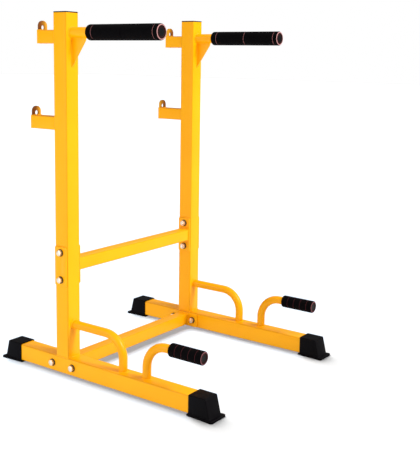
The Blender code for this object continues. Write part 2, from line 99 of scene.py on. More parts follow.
def lamp(name, light, direction, lights_up, shadows_from):
    made = bpy.data.objects.new(name, light)
    made.rotation_euler = Vector(direction).to_track_quat("Z", "Y").to_euler()
    made.light_linking.receiver_collection = lights_up
    made.light_linking.blocker_collection = shadows_from
    bpy.context.scene.collection.objects.link(made)
    return made


def far_light(name, direction, spread, level, lights_up, shadows_from=None):
    """A light so far off that it is even. Its spread, in degrees, softens its shadows.

    Straight on, it lights white to this level.
    """
    light = bpy.data.lights.new(name, "SUN")
    light.angle = math.radians(spread)
    light.energy = level * math.pi
    lamp(name, light, direction, lights_up, shadows_from)


def near_light(name, place, direction, size, watts, shadows_from=None):
    """A square softbox that stands near the rack, so that what is further from it gets less of its light."""
    light = bpy.data.lights.new(name, "AREA")
    light.size = size
    light.energy = watts
    lamp(name, light, direction, all_but_floor, shadows_from).location = place


far_light("key_light", (0.22, -1.0, 0.85), 9, 0.50, all_but_floor, all_but_dip_handles)
far_light("front_softbox", (0.35, -1.0, 0.75), 60, 0.30, all_but_floor)
far_light("overhead_softbox", (0.0, 0.0, 1.0), 150, 0.58, all_but_floor)
far_light("gloss_light", (-0.75, 0.60, 0.32), 10, 0.10, all_but_floor)
far_light("floor_light", (0.25, 0.50, 1.0), 44, 2.85, floor_only, lowest_pieces)
far_light("foot_light", (0.45, 1.1, 1.0), 35, 1.52, floor_only, front_feet)
near_light("left_softbox", (-2.1, 0.5, 0.55), (-1.0, 0.2, 0.12), 1.4, 17.5)
near_light("upper_softbox", (0.35, -1.7, 1.9), (0.15, -1.0, 0.65), 1.2, 24, all_but_dip_handles)


# Square tubes: the posts, floor tubes, crossbars and hook arms are cold-rolled steel tube with rounded
# corners, cut square and welded or bolted together. Steel shows nowhere: all of it is powder-coated a glossy
# warm yellow, with the faint ripple that such a coat has.
class Wire:
    """A node output of a material. Arithmetic on it adds Math nodes, and node() adds any other node."""

    def __init__(self, socket):
        self.socket = socket

    def node(self, kind, settings, inputs, output=0):
        tree = self.socket.id_data
        made = tree.nodes.new("ShaderNode" + kind)
        for name, value in settings.items():
            setattr(made, name, value)
        for key, value in inputs.items():
            if isinstance(value, Wire):
                tree.links.new(value.socket, made.inputs[key])
            else:
                made.inputs[key].default_value = value
        return Wire(made.outputs[output])

    def maths(self, operation, first, second):
        return self.node("Math", {"operation": operation}, {0: first, 1: second})

    def __add__(self, other):
        return self.maths("ADD", self, other)

    __radd__ = __add__

    def __sub__(self, other):
        return self.maths("SUBTRACT", self, other)

    def __rsub__(self, other):
        return self.maths("SUBTRACT", other, self)

    def __mul__(self, other):
        return self.maths("MULTIPLY", self, other)

    __rmul__ = __mul__

    def noise(self, scale, detail=2.0, rough=0.5):
        inputs = {"Vector": self, "Scale": scale, "Detail": detail, "Roughness": rough}
        return self.node("TexNoise", {}, inputs)

    def between(self, low, high):
        """0 below low and 1 above high, with a smooth step between them."""
        return self.node("MapRange", {"interpolation_type": "SMOOTHSTEP"}, {0: self, 1: low, 2: high})

    def blend(self, colour_a, colour_b):
        """The first colour where this is 0, and the second where it is 1."""
        return self.node("Mix", {"data_type": "RGBA"}, {0: self, 6: colour_a, 7: colour_b}, 2)

    def into(self, socket):
        self.socket.id_data.links.new(self.socket, socket)

    def bump_into(self, shader, height):
        """Shapes the shader's surface by this, times a height in metres."""
        bump = self.node("Bump", {}, {"Strength": 1.0, "Distance": height, "Height": self})
        bump.into(shader.inputs["Normal"])


def new_finish(name, **constants):
    """A material: its Principled shader with these fixed values, and the piece's own coordinates."""
    made = bpy.data.materials.new(name)
    made.use_nodes = True
    shader = made.node_tree.nodes["Principled BSDF"]
    for socket, value in constants.items():
        shader.inputs[socket.replace("_", " ")].default_value = value
    coordinates = made.node_tree.nodes.new("ShaderNodeTexCoord")
    return made, shader, Wire(coordinates.outputs["Object"])


def coat_surface(place, shader, roughness):
    """The uneven gloss and the faint ripple of powder coat."""
    (place.noise(60.0, 3.0) * 0.12 + roughness).into(shader.inputs["Roughness"])
    (place.noise(420.0, 1.0) + place.noise(95.0, 1.0) * 0.8).bump_into(shader, 0.00012)


powder_coat, shader, place = new_finish("yellow_powder_coat", Specular_IOR_Level=0.16)
cloudy = place.noise(7.0, 3.0).between(0.3, 0.7)
yellow = cloudy.blend((0.97, 0.395, 0.0005, 1), (0.97, 0.42, 0.001, 1))
# painted shade: where a tube's mark says, the coat goes towards this darker yellow, as shade
deeper = place.node("Attribute", {"attribute_name": "deeper"}, {}, 2) * (place.noise(30.0, 2.0) * 0.4 + 0.7)
deeper.blend(yellow, (0.76, 0.30, 0.0004, 1)).into(shader.inputs["Base Color"])
coat_surface(place, shader, 0.26)


def pick(kind, test):
    """Selects those faces, edges or corners of the piece in edit mode that pass the test."""
    bpy.ops.mesh.select_mode(type=kind)
    bpy.ops.mesh.select_all(action="DESELECT")
    mesh = bpy.context.edit_object.data
    piece_mesh = bmesh.from_edit_mesh(mesh)
    for item in {"VERT": piece_mesh.verts, "EDGE": piece_mesh.edges, "FACE": piece_mesh.faces}[kind]:
        item.select_set(test(item))
    piece_mesh.select_flush_mode()
    bmesh.update_edit_mesh(mesh)


def edge_way(edge):
    """The absolute direction of an edge."""
    return Vector(map(abs, (edge.verts[1].co - edge.verts[0].co).normalized()))


def edge_middle(edge):
    return (edge.verts[0].co + edge.verts[1].co) / 2


def block(name, low, high):
    """A box between two corners, left in edit mode with nothing selected."""
    bpy.ops.mesh.primitive_cube_add(size=1, location=(low + high) / 2)
    made = bpy.context.object
    made.name = name
    made.scale = high - low
    bpy.ops.object.transform_apply(location=True, rotation=True, scale=True)
    bpy.ops.object.mode_set(mode="EDIT")
    bpy.ops.mesh.select_all(action="DESELECT")
    return made


def modify(piece, kind, **settings):
    """Adds a modifier to the piece and applies it."""
    bpy.context.view_layer.objects.active = piece
    modifier = piece.modifiers.new(kind.lower(), kind)
    for name, value in settings.items():
        setattr(modifier, name, value)
    bpy.ops.object.modifier_apply(modifier=modifier.name)


def round_edges(piece, width, segments, angle=35):
    limit = math.radians(angle)
    modify(piece, "BEVEL", width=width, segments=segments, limit_method="ANGLE", angle_limit=limit)


def done(piece, finish, slot_name, *nodes):
    """Shades and paints the finished piece, which stands for these solids, and picks its shadows."""
    bpy.ops.object.select_all(action="DESELECT")
    piece.select_set(True)
    bpy.context.view_layer.objects.active = piece
    bpy.ops.object.transform_apply(location=True, rotation=True, scale=True)
    bpy.ops.object.shade_smooth_by_angle(angle=math.radians(35))
    if not piece.data.materials:
        piece.data.materials.append(finish)
    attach(piece, "root")
    if nodes:
        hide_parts(*nodes)
    if any(word in piece.name for word in ("floor_tube", "foot_rubber", "lower_crossbar")):
        lowest_pieces.objects.link(piece)
    if "front_foot_rubber" in piece.name:
        front_feet.objects.link(piece)
    if "_dip_" in piece.name:
        all_but_dip_handles.objects.link(piece)
        all_but_dip_handles.collection_objects[-1].light_linking.link_state = "EXCLUDE"
    piece.select_set(False)


def drill(piece, middle, radius, axis):
    """Cuts a round hole along X or Y, with a bit that is longer than any piece is thick."""
    turn = (0, math.radians(90), 0) if axis == "X" else (math.radians(90), 0, 0)
    bpy.ops.mesh.primitive_cylinder_add(vertices=32, radius=radius, depth=0.2, location=middle, rotation=turn)
    bit = bpy.context.object
    modify(piece, "BOOLEAN", operation="DIFFERENCE", solver="EXACT", object=bit)
    bpy.data.objects.remove(bit)


def bolt_middle(node):
    low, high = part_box(node)
    return (low + high) / 2


def square_tube(node, wall, corner, drilled_by=None, painted_shade_level=0.0):
    """A tube along the longest side of its solid's box, open at both ends, with holes for a pair of bolts.

    The coat is painted darker, as shade, on the rounded corners and all over by the given level.
    """
    low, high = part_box(node)
    middle, sides = (low + high) / 2, high - low
    along = max(range(3), key=lambda axis: sides[axis])
    tube = block(f"{node}_steel", low, high)
    pick("FACE", lambda face: abs(face.normal[along]) > 0.9)
    bpy.ops.mesh.delete(type="ONLY_FACE")
    pick("EDGE", lambda edge: edge_way(edge)[along] > 0.9)
    bpy.ops.mesh.bevel(offset=corner, segments=6, affect="EDGES")
    bpy.ops.object.mode_set(mode="OBJECT")
    # painted shade: on the rounded corners, and all over by the given level
    marks = tube.data.attributes.new("deeper", "FLOAT", "POINT")
    for vertex, mark in zip(tube.data.vertices, marks.data):
        inward = [sides[axis] / 2 - abs(vertex.co[axis] - middle[axis]) for axis in range(3) if axis != along]
        near_edge = [max(0, 1 - distance / corner) for distance in inward]
        mark.value = min(1, painted_shade_level + 2 * near_edge[0] * near_edge[1])
    modify(tube, "SOLIDIFY", thickness=wall, offset=-1, use_even_offset=True)
    if drilled_by:
        for number in (1, 2):
            drill(tube, bolt_middle(f"{drilled_by}_{number}"), BOLT_HOLE_RADIUS, "X")
    round_edges(tube, width=0.0003, segments=1, angle=60)
    done(tube, powder_coat, "yellow_powder_coat", node)


BOLT_HOLE_RADIUS = 0.0055
for side in ("left", "right"):
    square_tube(f"{side}_post", wall=0.002, corner=0.004, drilled_by=f"{side}_middle_bolt")
    square_tube(f"{side}_floor_tube", wall=0.002, corner=0.004, drilled_by=f"{side}_lower_bolt")
    for level in ("upper", "lower"):
        square_tube(f"{side}_{level}_hook_arm", wall=0.0015, corner=0.003)
# painted shade: the lower crossbar, near the floor, is painted darker all over
for level, painted_shade_level in (("middle", 0.0), ("lower", 0.75)):
    square_tube(f"{level}_crossbar", wall=0.0015, corner=0.003, painted_shade_level=painted_shade_level)


# Hook plates: flat steel, one on the rear end of each hook arm, with a narrower rounded loop above the arm so
# that a bar that lies there can't roll off. Welded on and coated with the frame; the loops' coat is painted
# brown as shade, most of all on their outer sides.
LOOP_HALF_WIDTH = 0.0155
LOOP_HOLE_RADIUS = 0.007
SHOULDER = 0.0015  # height over which a plate narrows to its loop

# painted shade: the loops' coat goes from yellow to brown by their mark, as shade
loop_coat, shader, place = new_finish("browned_powder_coat", Specular_IOR_Level=0.16)
browned = place.node("Attribute", {"attribute_name": "browned"}, {}, 2)
patchy = (browned + place.noise(160.0, 3.0) * 0.3 - 0.15).between(0.1, 0.95)
brown = patchy.blend((0.80, 0.40, 0.02, 1), (0.20, 0.055, 0.002, 1))
browned.between(0.0, 0.1).blend((0.97, 0.41, 0.0008, 1), brown).into(shader.inputs["Base Color"])
coat_surface(place, shader, 0.3)


def pull(*way):
    """Draws the selected faces or edges out by this way."""
    bpy.ops.mesh.extrude_region_move(TRANSFORM_OT_translate={"value": way})


for side, outward in (("left", -1), ("right", 1)):
    for level in ("upper", "lower"):
        node = f"{side}_{level}_hook_plate"
        low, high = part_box(node)
        middle = (low + high) / 2
        arm_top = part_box(f"{side}_{level}_hook_arm")[1].z
        plate = block(f"{node}_steel", low, Vector((high.x, high.y, arm_top)))
        pick("FACE", lambda face: face.normal.z > 0.9)
        pull(0, 0, SHOULDER)
        narrower = LOOP_HALF_WIDTH * 2 / (high.x - low.x)
        bpy.ops.transform.resize(value=(narrower, 1, 1), center_override=middle)
        pull(0, 0, high.z - arm_top - SHOULDER)
        pick("EDGE", lambda edge: edge_way(edge).y > 0.9 and edge_middle(edge).z > high.z - 0.001)
        rounding = LOOP_HALF_WIDTH * 0.999  # the two corners just don't meet
        bpy.ops.mesh.bevel(offset=rounding, segments=20, affect="EDGES")
        bpy.ops.object.mode_set(mode="OBJECT")
        drill(plate, (middle.x, middle.y, arm_top + LOOP_HOLE_RADIUS), LOOP_HOLE_RADIUS, "Y")
        round_edges(plate, width=0.0009, segments=3)
        # painted shade, browner towards the outer side of each loop
        marks = plate.data.attributes.new("browned", "FLOAT", "POINT")
        for vertex, mark in zip(plate.data.vertices, marks.data):
            if vertex.co.z > arm_top + SHOULDER / 2:
                from_middle = outward * (vertex.co.x - middle.x) / LOOP_HALF_WIDTH
                mark.value = 0.65 + 0.35 * from_middle
        done(plate, loop_coat, "yellow_powder_coat", node)


# Gussets: a sheared steel triangle under each dip tube that carries its load into the post. Welded on both
# sides, and coated with the frame.
GUSSET_FRONT = 0.0065  # height of the short front edge
for side in ("left", "right"):
    node = f"{side}_dip_gusset"
    low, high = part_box(node)
    gusset = block(f"{node}_steel", low, high)
    pick("VERT", lambda corner: corner.co.y < low.y + 0.001 and corner.co.z < low.z + 0.001)
    bpy.ops.transform.translate(value=(0, 0, high.z - GUSSET_FRONT - low.z))
    bpy.ops.object.mode_set(mode="OBJECT")
    round_edges(gusset, width=0.0005, segments=2)
    done(gusset, powder_coat, "yellow_powder_coat", node)


# Round tubes: the straight dip tubes, and the braces and push-up handles, which are bent once on a mandrel so
# that the section stays round. Cut square, welded at the foot, and coated with the frame.
def tube_end(name, middle, radius, turn=(0, 0, 0)):
    """A ring of corners where a tube starts, left selected in edit mode."""
    bpy.ops.mesh.primitive_circle_add(vertices=48, radius=radius, location=middle, rotation=turn)
    made = bpy.context.object
    made.name = name
    bpy.ops.object.transform_apply(location=True, rotation=True, scale=True)
    bpy.ops.object.mode_set(mode="EDIT")
    bpy.ops.mesh.select_mode(type="VERT")
    bpy.ops.mesh.select_all(action="SELECT")
    return made


def tube_wall(tube, wall, node, painted_shade_level=0.0):
    """Gives a drawn-out tube its wall and a level of painted shade on its coat, and finishes it."""
    bpy.ops.mesh.select_all(action="SELECT")
    bpy.ops.mesh.normals_make_consistent(inside=False)
    bpy.ops.object.mode_set(mode="OBJECT")
    modify(tube, "SOLIDIFY", thickness=wall, offset=-1, use_even_offset=True)
    round_edges(tube, width=0.0003, segments=1, angle=60)
    for mark in tube.data.attributes.new("deeper", "FLOAT", "POINT").data:
        mark.value = painted_shade_level
    done(tube, powder_coat, "yellow_powder_coat", node)


DIP_TUBE_RADIUS = 0.015
for side in ("left", "right"):
    node = f"{side}_dip_tube"
    low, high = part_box(node)
    middle = (low + high) / 2
    end = (middle.x, high.y, middle.z)
    tube = tube_end(f"{node}_steel", end, DIP_TUBE_RADIUS, turn=(math.radians(90), 0, 0))
    pull(0, low.y - high.y, 0)
    tube_wall(tube, 0.002, node)

BENT_TUBE_RADIUS = 0.0125
for side in ("left", "right"):
    # toward: the way along Y that the tube bends from its foot; bend: the radius of its middle line
    for part, toward, bend in (("brace", 1, 0.065), ("push_up_handle", -1, 0.068)):
        node = f"{side}_{part}"
        low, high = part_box(node)
        leg_y = low.y + BENT_TUBE_RADIUS if toward > 0 else high.y - BENT_TUBE_RADIUS
        end_y = high.y if toward > 0 else low.y
        centre = Vector(((low.x + high.x) / 2, leg_y + toward * bend, high.z - BENT_TUBE_RADIUS - bend))
        tube = tube_end(f"{node}_steel", (centre.x, leg_y, low.z), BENT_TUBE_RADIUS)
        pull(0, 0, centre.z - low.z)
        bpy.ops.mesh.spin(steps=20, angle=toward * math.radians(90), center=centre, axis=(1, 0, 0))
        pull(0, end_y - centre.y, 0)
        # painted shade: the bent tubes are painted darker all over
        tube_wall(tube, 0.0018, node, painted_shade_level=0.55)


# Bolted plates: one on each end of both crossbars, inside the frames, and a thinner one on the outside of
# each post under the bolt heads. Flat steel with rounded corners and two bolt holes, coated with the frame.
PLATE_CORNER = 0.004
for side in ("left", "right"):
    for node, joint in (
        (f"{side}_backing_plate", "middle"),
        (f"middle_crossbar_{side}_plate", "middle"),
        (f"lower_crossbar_{side}_plate", "lower"),
    ):
        low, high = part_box(node)
        plate = block(f"{node}_steel", low, high)
        pick("EDGE", lambda edge: edge_way(edge).x > 0.9)
        bpy.ops.mesh.bevel(offset=PLATE_CORNER, segments=5, affect="EDGES")
        bpy.ops.object.mode_set(mode="OBJECT")
        for number in (1, 2):
            drill(plate, bolt_middle(f"{side}_{joint}_bolt_{number}"), BOLT_HOLE_RADIUS, "X")
        round_edges(plate, width=0.0005, segments=2)
        done(plate, powder_coat, "yellow_powder_coat", node)


# Welds: beads of metal along every seam of the two frames and the crossbars, laid before coating. Each bead
# has the small ripples that the pool of metal left, softened by the coat over them.
RIPPLE = 0.0022  # from one ripple to the next
STEPS_IN_RIPPLE = 4
POST_HALF, POST_CORNER = 0.025, 0.004
POST_SEAM_HALF_WIDTH = 0.0238  # the bead under a post keeps clear of the floor tube's rounded edges
SLIM_HALF, SLIM_CORNER = 0.019, 0.003  # the hook arms and crossbars
PLATE_SEAM_HALF_WIDTH, PLATE_SEAM_HALF_HEIGHT = 0.0178, 0.0184  # the bead on a hook plate keeps inside it
PLATE_SEAM_RAISED = 0.0006


def loop(middle, across, up, half_width, half_height, corner):
    """A closed path round a tube's end, with rounded corners."""
    middle, across, up = Vector(middle), Vector(across), Vector(up)
    points = []
    for quarter, (right, top) in enumerate(((1, 1), (-1, 1), (-1, -1), (1, -1))):
        centre = middle + across * right * (half_width - corner) + up * top * (half_height - corner)
        for step in range(9):
            angle = math.radians(90 * (quarter + step / 8))
            points.append(centre + (across * math.cos(angle) + up * math.sin(angle)) * corner)
    return points + points[:1]


def circle(middle, across, up, radius):
    return loop(middle, across, up, radius, radius, radius)


def weld(name, path, radius):
    """A rippled bead along a path of points, closed where the path comes back to its start."""
    path = [Vector(point) for point in path]
    lengths = [(b - a).length for a, b in zip(path, path[1:])]
    ripples = max(2, round(sum(lengths) / RIPPLE))
    count = ripples * STEPS_IN_RIPPLE
    closed = (path[0] - path[-1]).length < 1e-6
    bead = bpy.data.curves.new(name, "CURVE")
    bead.dimensions = "3D"
    bead.bevel_depth = radius
    bead.bevel_resolution = 3
    bead.use_fill_caps = True
    spline = bead.splines.new("POLY")
    spline.points.add(count - 1 if closed else count)
    walked, leg = 0.0, 0
    for step, point in enumerate(spline.points):
        along = sum(lengths) * step / count
        while leg < len(lengths) - 1 and walked + lengths[leg] < along:
            walked += lengths[leg]
            leg += 1
        part = (along - walked) / lengths[leg] if lengths[leg] else 0
        point.co = (*path[leg].lerp(path[leg + 1], min(part, 1)), 1)
        uneven = 0.05 * math.sin(0.9 * step)
        point.radius = 1 + 0.07 * math.sin(math.tau * step / STEPS_IN_RIPPLE) + uneven
    spline.use_cyclic_u = closed
    made = bpy.data.objects.new(name, bead)
    bpy.context.scene.collection.objects.link(made)
    made.select_set(True)
    bpy.context.view_layer.objects.active = made
    bpy.ops.object.convert(target="MESH")
    done(bpy.context.object, powder_coat, "yellow_powder_coat")


X, Y, Z = (1, 0, 0), (0, 1, 0), (0, 0, 1)
for side in ("left", "right"):
    post_low, post_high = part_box(f"{side}_post")
    plane = (post_low.x + post_high.x) / 2
    post_y = (post_low.y + post_high.y) / 2
    foot = loop((plane, post_y, post_low.z), X, Y, POST_SEAM_HALF_WIDTH, POST_HALF, POST_CORNER)
    weld(f"{side}_post_weld", foot, radius=0.0022)
    for level in ("upper", "lower"):
        low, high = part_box(f"{side}_{level}_hook_arm")
        middle = (low + high) / 2
        root = loop((plane, post_high.y, middle.z), X, Z, SLIM_HALF, SLIM_HALF, SLIM_CORNER)
        weld(f"{side}_{level}_hook_arm_weld", root, radius=0.0021)
        seat = (plane, high.y, middle.z + PLATE_SEAM_RAISED)
        seam = loop(seat, X, Z, PLATE_SEAM_HALF_WIDTH, PLATE_SEAM_HALF_HEIGHT, SLIM_CORNER)
        weld(f"{side}_{level}_hook_plate_weld", seam, radius=0.0016)
    low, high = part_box(f"{side}_dip_tube")
    root = circle((plane, post_low.y, (low.z + high.z) / 2), X, Z, DIP_TUBE_RADIUS)
    weld(f"{side}_dip_tube_weld", root, radius=0.0023)
    low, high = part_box(f"{side}_dip_gusset")
    for number, x in enumerate((low.x, high.x), 1):
        corner = [(x, low.y, high.z), (x, high.y, high.z), (x, high.y, low.z)]
        weld(f"{side}_gusset_weld_{number}", corner, radius=0.0017)
    low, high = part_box(f"{side}_brace")
    foot = circle((plane, low.y + BENT_TUBE_RADIUS, low.z), X, Y, BENT_TUBE_RADIUS)
    weld(f"{side}_brace_foot_weld", foot, radius=0.0021)
    head = circle((plane, high.y, high.z - BENT_TUBE_RADIUS), X, Z, BENT_TUBE_RADIUS)
    weld(f"{side}_brace_post_weld", head, radius=0.0021)
    low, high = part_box(f"{side}_push_up_handle")
    foot = circle((plane, high.y - BENT_TUBE_RADIUS, low.z), X, Y, BENT_TUBE_RADIUS)
    weld(f"{side}_push_up_weld", foot, radius=0.0021)
for level in ("middle", "lower"):
    low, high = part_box(f"{level}_crossbar")
    middle = (low + high) / 2
    for side, x in (("left", low.x), ("right", high.x)):
        end = loop((x, middle.y, middle.z), Y, Z, SLIM_HALF, SLIM_HALF, SLIM_CORNER)
        weld(f"{level}_crossbar_{side}_weld", end, radius=0.002)


# Bolts and nuts: M10 hexagon bolts from outside with a washer under the head, and a washer and nut on the
# inside, where a few turns of thread show. Cold-forged steel, zinc-plated bright, on dark washers.
WASHER_RADIUS = 0.0106
WASHER_THICKNESS = 0.002
HEX_CORNER_RADIUS = 0.0078 / math.cos(math.radians(30))
HEAD_HEIGHT = 0.007
NUT_HEIGHT = 0.0084
THREAD_RADIUS = 0.005
THREAD_TURNS = 17
THREAD_DEPTH, THREAD_PITCH = 0.62, 1.5  # these and the next ones in millimetres
TOP_CHAMFER = (1.7, 0.95)  # in from the corners, and down
NUT_FOOT_CHAMFER = (1.6, 0.9)
NUT_BORE_RADIUS, NUT_MOUTH = 5.3, 0.7
HEAD_REACH = 8.7  # only the washers lie further out than this

zinc, shader, place = new_finish("bright_zinc_plating", Metallic=1.0)
patchy = place.noise(160.0, 3.0).between(0.3, 0.7)
patchy.blend((0.76, 0.62, 0.46, 1), (0.90, 0.76, 0.60, 1)).into(shader.inputs["Base Color"])
(place.noise(320.0, 4.0) * 0.2 + 0.28).into(shader.inputs["Roughness"])
place.noise(900.0, 2.0).bump_into(shader, 0.00005)

# the washers are dark, darker than the zinc of the heads and nuts
dark_washer, shader, place = new_finish("blackened_washer_steel", Metallic=0.6)
patchy = place.noise(200.0, 3.0)
patchy.blend((0.035, 0.020, 0.010, 1), (0.070, 0.044, 0.022, 1)).into(shader.inputs["Base Color"])
(place.noise(300.0, 3.0) * 0.2 + 0.35).into(shader.inputs["Roughness"])


def turned(name, profile, sides=48):
    """Spins a profile of (radius, height) pairs, given in millimetres, about its own upright axis."""
    bpy.ops.mesh.primitive_plane_add(size=0.001)
    made = bpy.context.object
    made.name = name
    bpy.ops.object.mode_set(mode="EDIT")
    bpy.ops.mesh.select_mode(type="VERT")
    bpy.ops.mesh.select_all(action="SELECT")
    bpy.ops.mesh.merge(type="CENTER")
    last = (0, 0)
    for step, (radius, height) in enumerate(profile):
        way = ((radius - last[0]) / 1000, 0, (height - last[1]) / 1000)
        if step:
            bpy.ops.mesh.extrude_vertices_move(TRANSFORM_OT_translate={"value": way})
        else:
            bpy.ops.transform.translate(value=way)
        last = (radius, height)
    bpy.ops.mesh.select_all(action="SELECT")
    bpy.ops.mesh.spin(steps=sides, angle=math.tau, center=(0, 0, 0), axis=(0, 0, 1))
    bpy.ops.mesh.select_all(action="SELECT")
    bpy.ops.mesh.remove_doubles(threshold=0.000005)
    bpy.ops.mesh.normals_make_consistent(inside=False)
    bpy.ops.object.mode_set(mode="OBJECT")
    return made


def combine(piece, other, operation):
    """Joins the other piece to this one, cuts it off, or keeps what both share; the other one is used up."""
    modify(piece, "BOOLEAN", operation=operation, solver="EXACT", object=other)
    bpy.data.objects.remove(other)


def hexagon(name, low, high, chamfer_below):
    """A hexagon between two heights, its corners turned off on top and, for a nut, below."""
    bpy.ops.mesh.primitive_cylinder_add(
        vertices=6, radius=HEX_CORNER_RADIUS, depth=high - low, location=(0, 0, (low + high) / 2)
    )
    made = bpy.context.object
    made.name = name
    bpy.ops.object.transform_apply(location=True, rotation=True, scale=True)
    top, foot, corner = high * 1000, low * 1000, HEX_CORNER_RADIUS * 1000 + 0.1
    inward, down = TOP_CHAMFER
    over = [(corner - inward, top), (corner, top - down)]
    inward, up = NUT_FOOT_CHAMFER
    under = [(corner, foot + up), (corner - inward, foot)] if chamfer_below else [(corner, foot)]
    blank = turned("blank", [(0, top), *over, *under, (0, foot)])
    combine(made, blank, "INTERSECT")
    return made


def washer(name, high):
    """A stamped washer below a height."""
    top, foot, radius = high * 1000, (high - WASHER_THICKNESS) * 1000, WASHER_RADIUS * 1000
    edge = [(radius - 0.4, top), (radius - 0.1, top - 0.15), (radius, top - 0.5), (radius, foot)]
    return turned(name, [(0, top), *edge, (0, foot)])


def paint(piece, finishes, which):
    """Gives each face one of the finishes. which() takes its middle's (radius, height) in millimetres."""
    for finish in finishes:
        piece.data.materials.append(finish)
    for face in piece.data.polygons:
        x, y, height = face.center * 1000
        face.material_index = int(which(math.hypot(x, y), height))


def on_washer(foot, top):
    """A test for paint(): does a face lie on the rim of the washer between these heights, in metres?"""
    return lambda out, height: out > HEAD_REACH and foot * 1000 - 0.1 < height < top * 1000 + 0.1


def put(model, name, at, turn, finish, slot_name, *nodes):
    """A copy of the model with its own mesh, turned and moved into place, and finished."""
    twin = model.copy()
    twin.data = model.data.copy()
    twin.name = name
    bpy.context.scene.collection.objects.link(twin)
    twin.location = at
    twin.rotation_euler = turn
    done(twin, finish, slot_name, *nodes)


def sideways(sign, turn):
    """The turn that lays an upright model along X, after a turn in degrees about its own axis."""
    laid = Matrix.Rotation(sign * math.radians(90), 3, "Y")
    return (laid @ Matrix.Rotation(math.radians(turn), 3, "Z")).to_euler()


for joint in ("middle", "lower"):
    low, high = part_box(f"right_{joint}_bolt_1")
    length = (high.x - low.x) * 1000
    under_head = -(HEAD_HEIGHT + WASHER_THICKNESS / 2) * 1000
    thread = THREAD_RADIUS * 1000
    turns = [
        (thread - THREAD_DEPTH * (step % 2), -length + 0.5 + THREAD_PITCH / 2 * step)
        for step in reversed(range(THREAD_TURNS * 2))
    ]
    tip = [(thread - 0.9, -length), (0, -length)]
    shank = turned("shank", [(0, under_head), (thread, under_head), *turns, *tip], sides=32)
    bolt = hexagon("bolt", -HEAD_HEIGHT - WASHER_THICKNESS / 2, 0, chamfer_below=False)
    combine(bolt, washer("bolt_washer", -HEAD_HEIGHT), "UNION")
    combine(bolt, shank, "UNION")
    paint(bolt, (zinc, dark_washer), on_washer(-HEAD_HEIGHT - WASHER_THICKNESS, -HEAD_HEIGHT))
    for side, sign in (("left", -1), ("right", 1)):
        for number, head_turn in ((1, 15), (2, 38)):
            node = f"{side}_{joint}_bolt_{number}"
            low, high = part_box(node)
            at = (low.x if sign < 0 else high.x, *bolt_middle(node)[1:])
            put(bolt, f"{node}_zinc", at, sideways(sign, head_turn), zinc, "bright_zinc", node)
    bpy.data.objects.remove(bolt)

nut = hexagon("nut", WASHER_THICKNESS / 2, WASHER_THICKNESS + NUT_HEIGHT, chamfer_below=True)
combine(nut, washer("nut_washer", WASHER_THICKNESS), "UNION")
top, mouth = (WASHER_THICKNESS + NUT_HEIGHT) * 1000, NUT_BORE_RADIUS + NUT_MOUTH
widened = [(mouth, 20), (mouth, top), (NUT_BORE_RADIUS, top - NUT_MOUTH)]
bore = turned("bore", [(0, 20), *widened, (NUT_BORE_RADIUS, -5), (0, -5)])
combine(nut, bore, "DIFFERENCE")
paint(nut, (zinc, dark_washer), on_washer(0, WASHER_THICKNESS))
for joint in ("middle", "lower"):
    for side, sign in (("left", -1), ("right", 1)):
        for number, nut_turn in ((1, 40), (2, 22)):
            node = f"{side}_{joint}_nut_{number}"
            low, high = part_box(node)
            seat = low.x if sign < 0 else high.x
            at = (seat, *bolt_middle(f"{side}_{joint}_bolt_{number}")[1:])
            put(nut, f"{node}_zinc", at, sideways(-sign, nut_turn), zinc, "bright_zinc", node)
bpy.data.objects.remove(nut)


# Feet: one-piece moulded black rubber caps, pushed over both ends of each floor tube. The sleeve's end leans
# out to a thin sole that is widest at the lip, with a small fillet where the two meet.
FOOT_LIP = 0.080  # from the sleeve's rim
FOOT_TOP = 0.058
TUBE_IN_FOOT = 0.0503
TUBE_MIDDLE = 0.030  # above the floor
BORE_HALF_WIDTH = 0.0253
SLEEVE_HALF_WIDTH = 0.0275
SLEEVE_LENGTH = 0.0691  # at the sole; the end leans back above it
SLEEVE_LEAN = 0.0141
SLEEVE_ROUNDING = 0.0032
SOLE_HALF_WIDTH = 0.034  # at the lip
SOLE_HALF_WIDTH_BEHIND = 0.0285
SOLE_THICKNESS = 0.0055
SOLE_CORNER, SOLE_EDGE = 0.007, 0.0012
FILLET = 0.0022

rubber, shader, place = new_finish("moulded_black_rubber", Specular_IOR_Level=0.05)
patchy = place.noise(25.0, 3.0)
patchy.blend((0.0012, 0.0008, 0.0013, 1), (0.0022, 0.0016, 0.0024, 1)).into(shader.inputs["Base Color"])
(place.noise(70.0, 3.0) * 0.2 + 0.42).into(shader.inputs["Roughness"])
(place.noise(1400.0, 2.0) + place.noise(240.0, 2.0)).bump_into(shader, 0.00008)

low = Vector((-SLEEVE_HALF_WIDTH, -SLEEVE_LENGTH, 0.001))
foot = block("foot", low, Vector((SLEEVE_HALF_WIDTH, 0, FOOT_TOP)))
pick("VERT", lambda corner: corner.co.y < -0.06 and corner.co.z > 0.05)
bpy.ops.transform.translate(value=(0, SLEEVE_LEAN, 0))
pick("EDGE", lambda edge: edge_middle(edge).z > 0.02 and edge_middle(edge).y < -0.001)
bpy.ops.mesh.bevel(offset=SLEEVE_ROUNDING, segments=4, affect="EDGES")
bpy.ops.object.mode_set(mode="OBJECT")
low = Vector((-SOLE_HALF_WIDTH, -FOOT_LIP, 0))
sole = block("sole", low, Vector((SOLE_HALF_WIDTH, 0.005, SOLE_THICKNESS)))
pick("VERT", lambda corner: corner.co.y > 0)
bpy.ops.transform.resize(value=(SOLE_HALF_WIDTH_BEHIND / SOLE_HALF_WIDTH, 1, 1), center_override=(0, 0, 0))
pick("EDGE", lambda edge: edge_way(edge).z > 0.9 and edge_middle(edge).y < 0)
bpy.ops.mesh.bevel(offset=SOLE_CORNER, segments=8, affect="EDGES")
pick("EDGE", lambda edge: edge_way(edge).z < 0.1 and edge_middle(edge).z > 0.005)
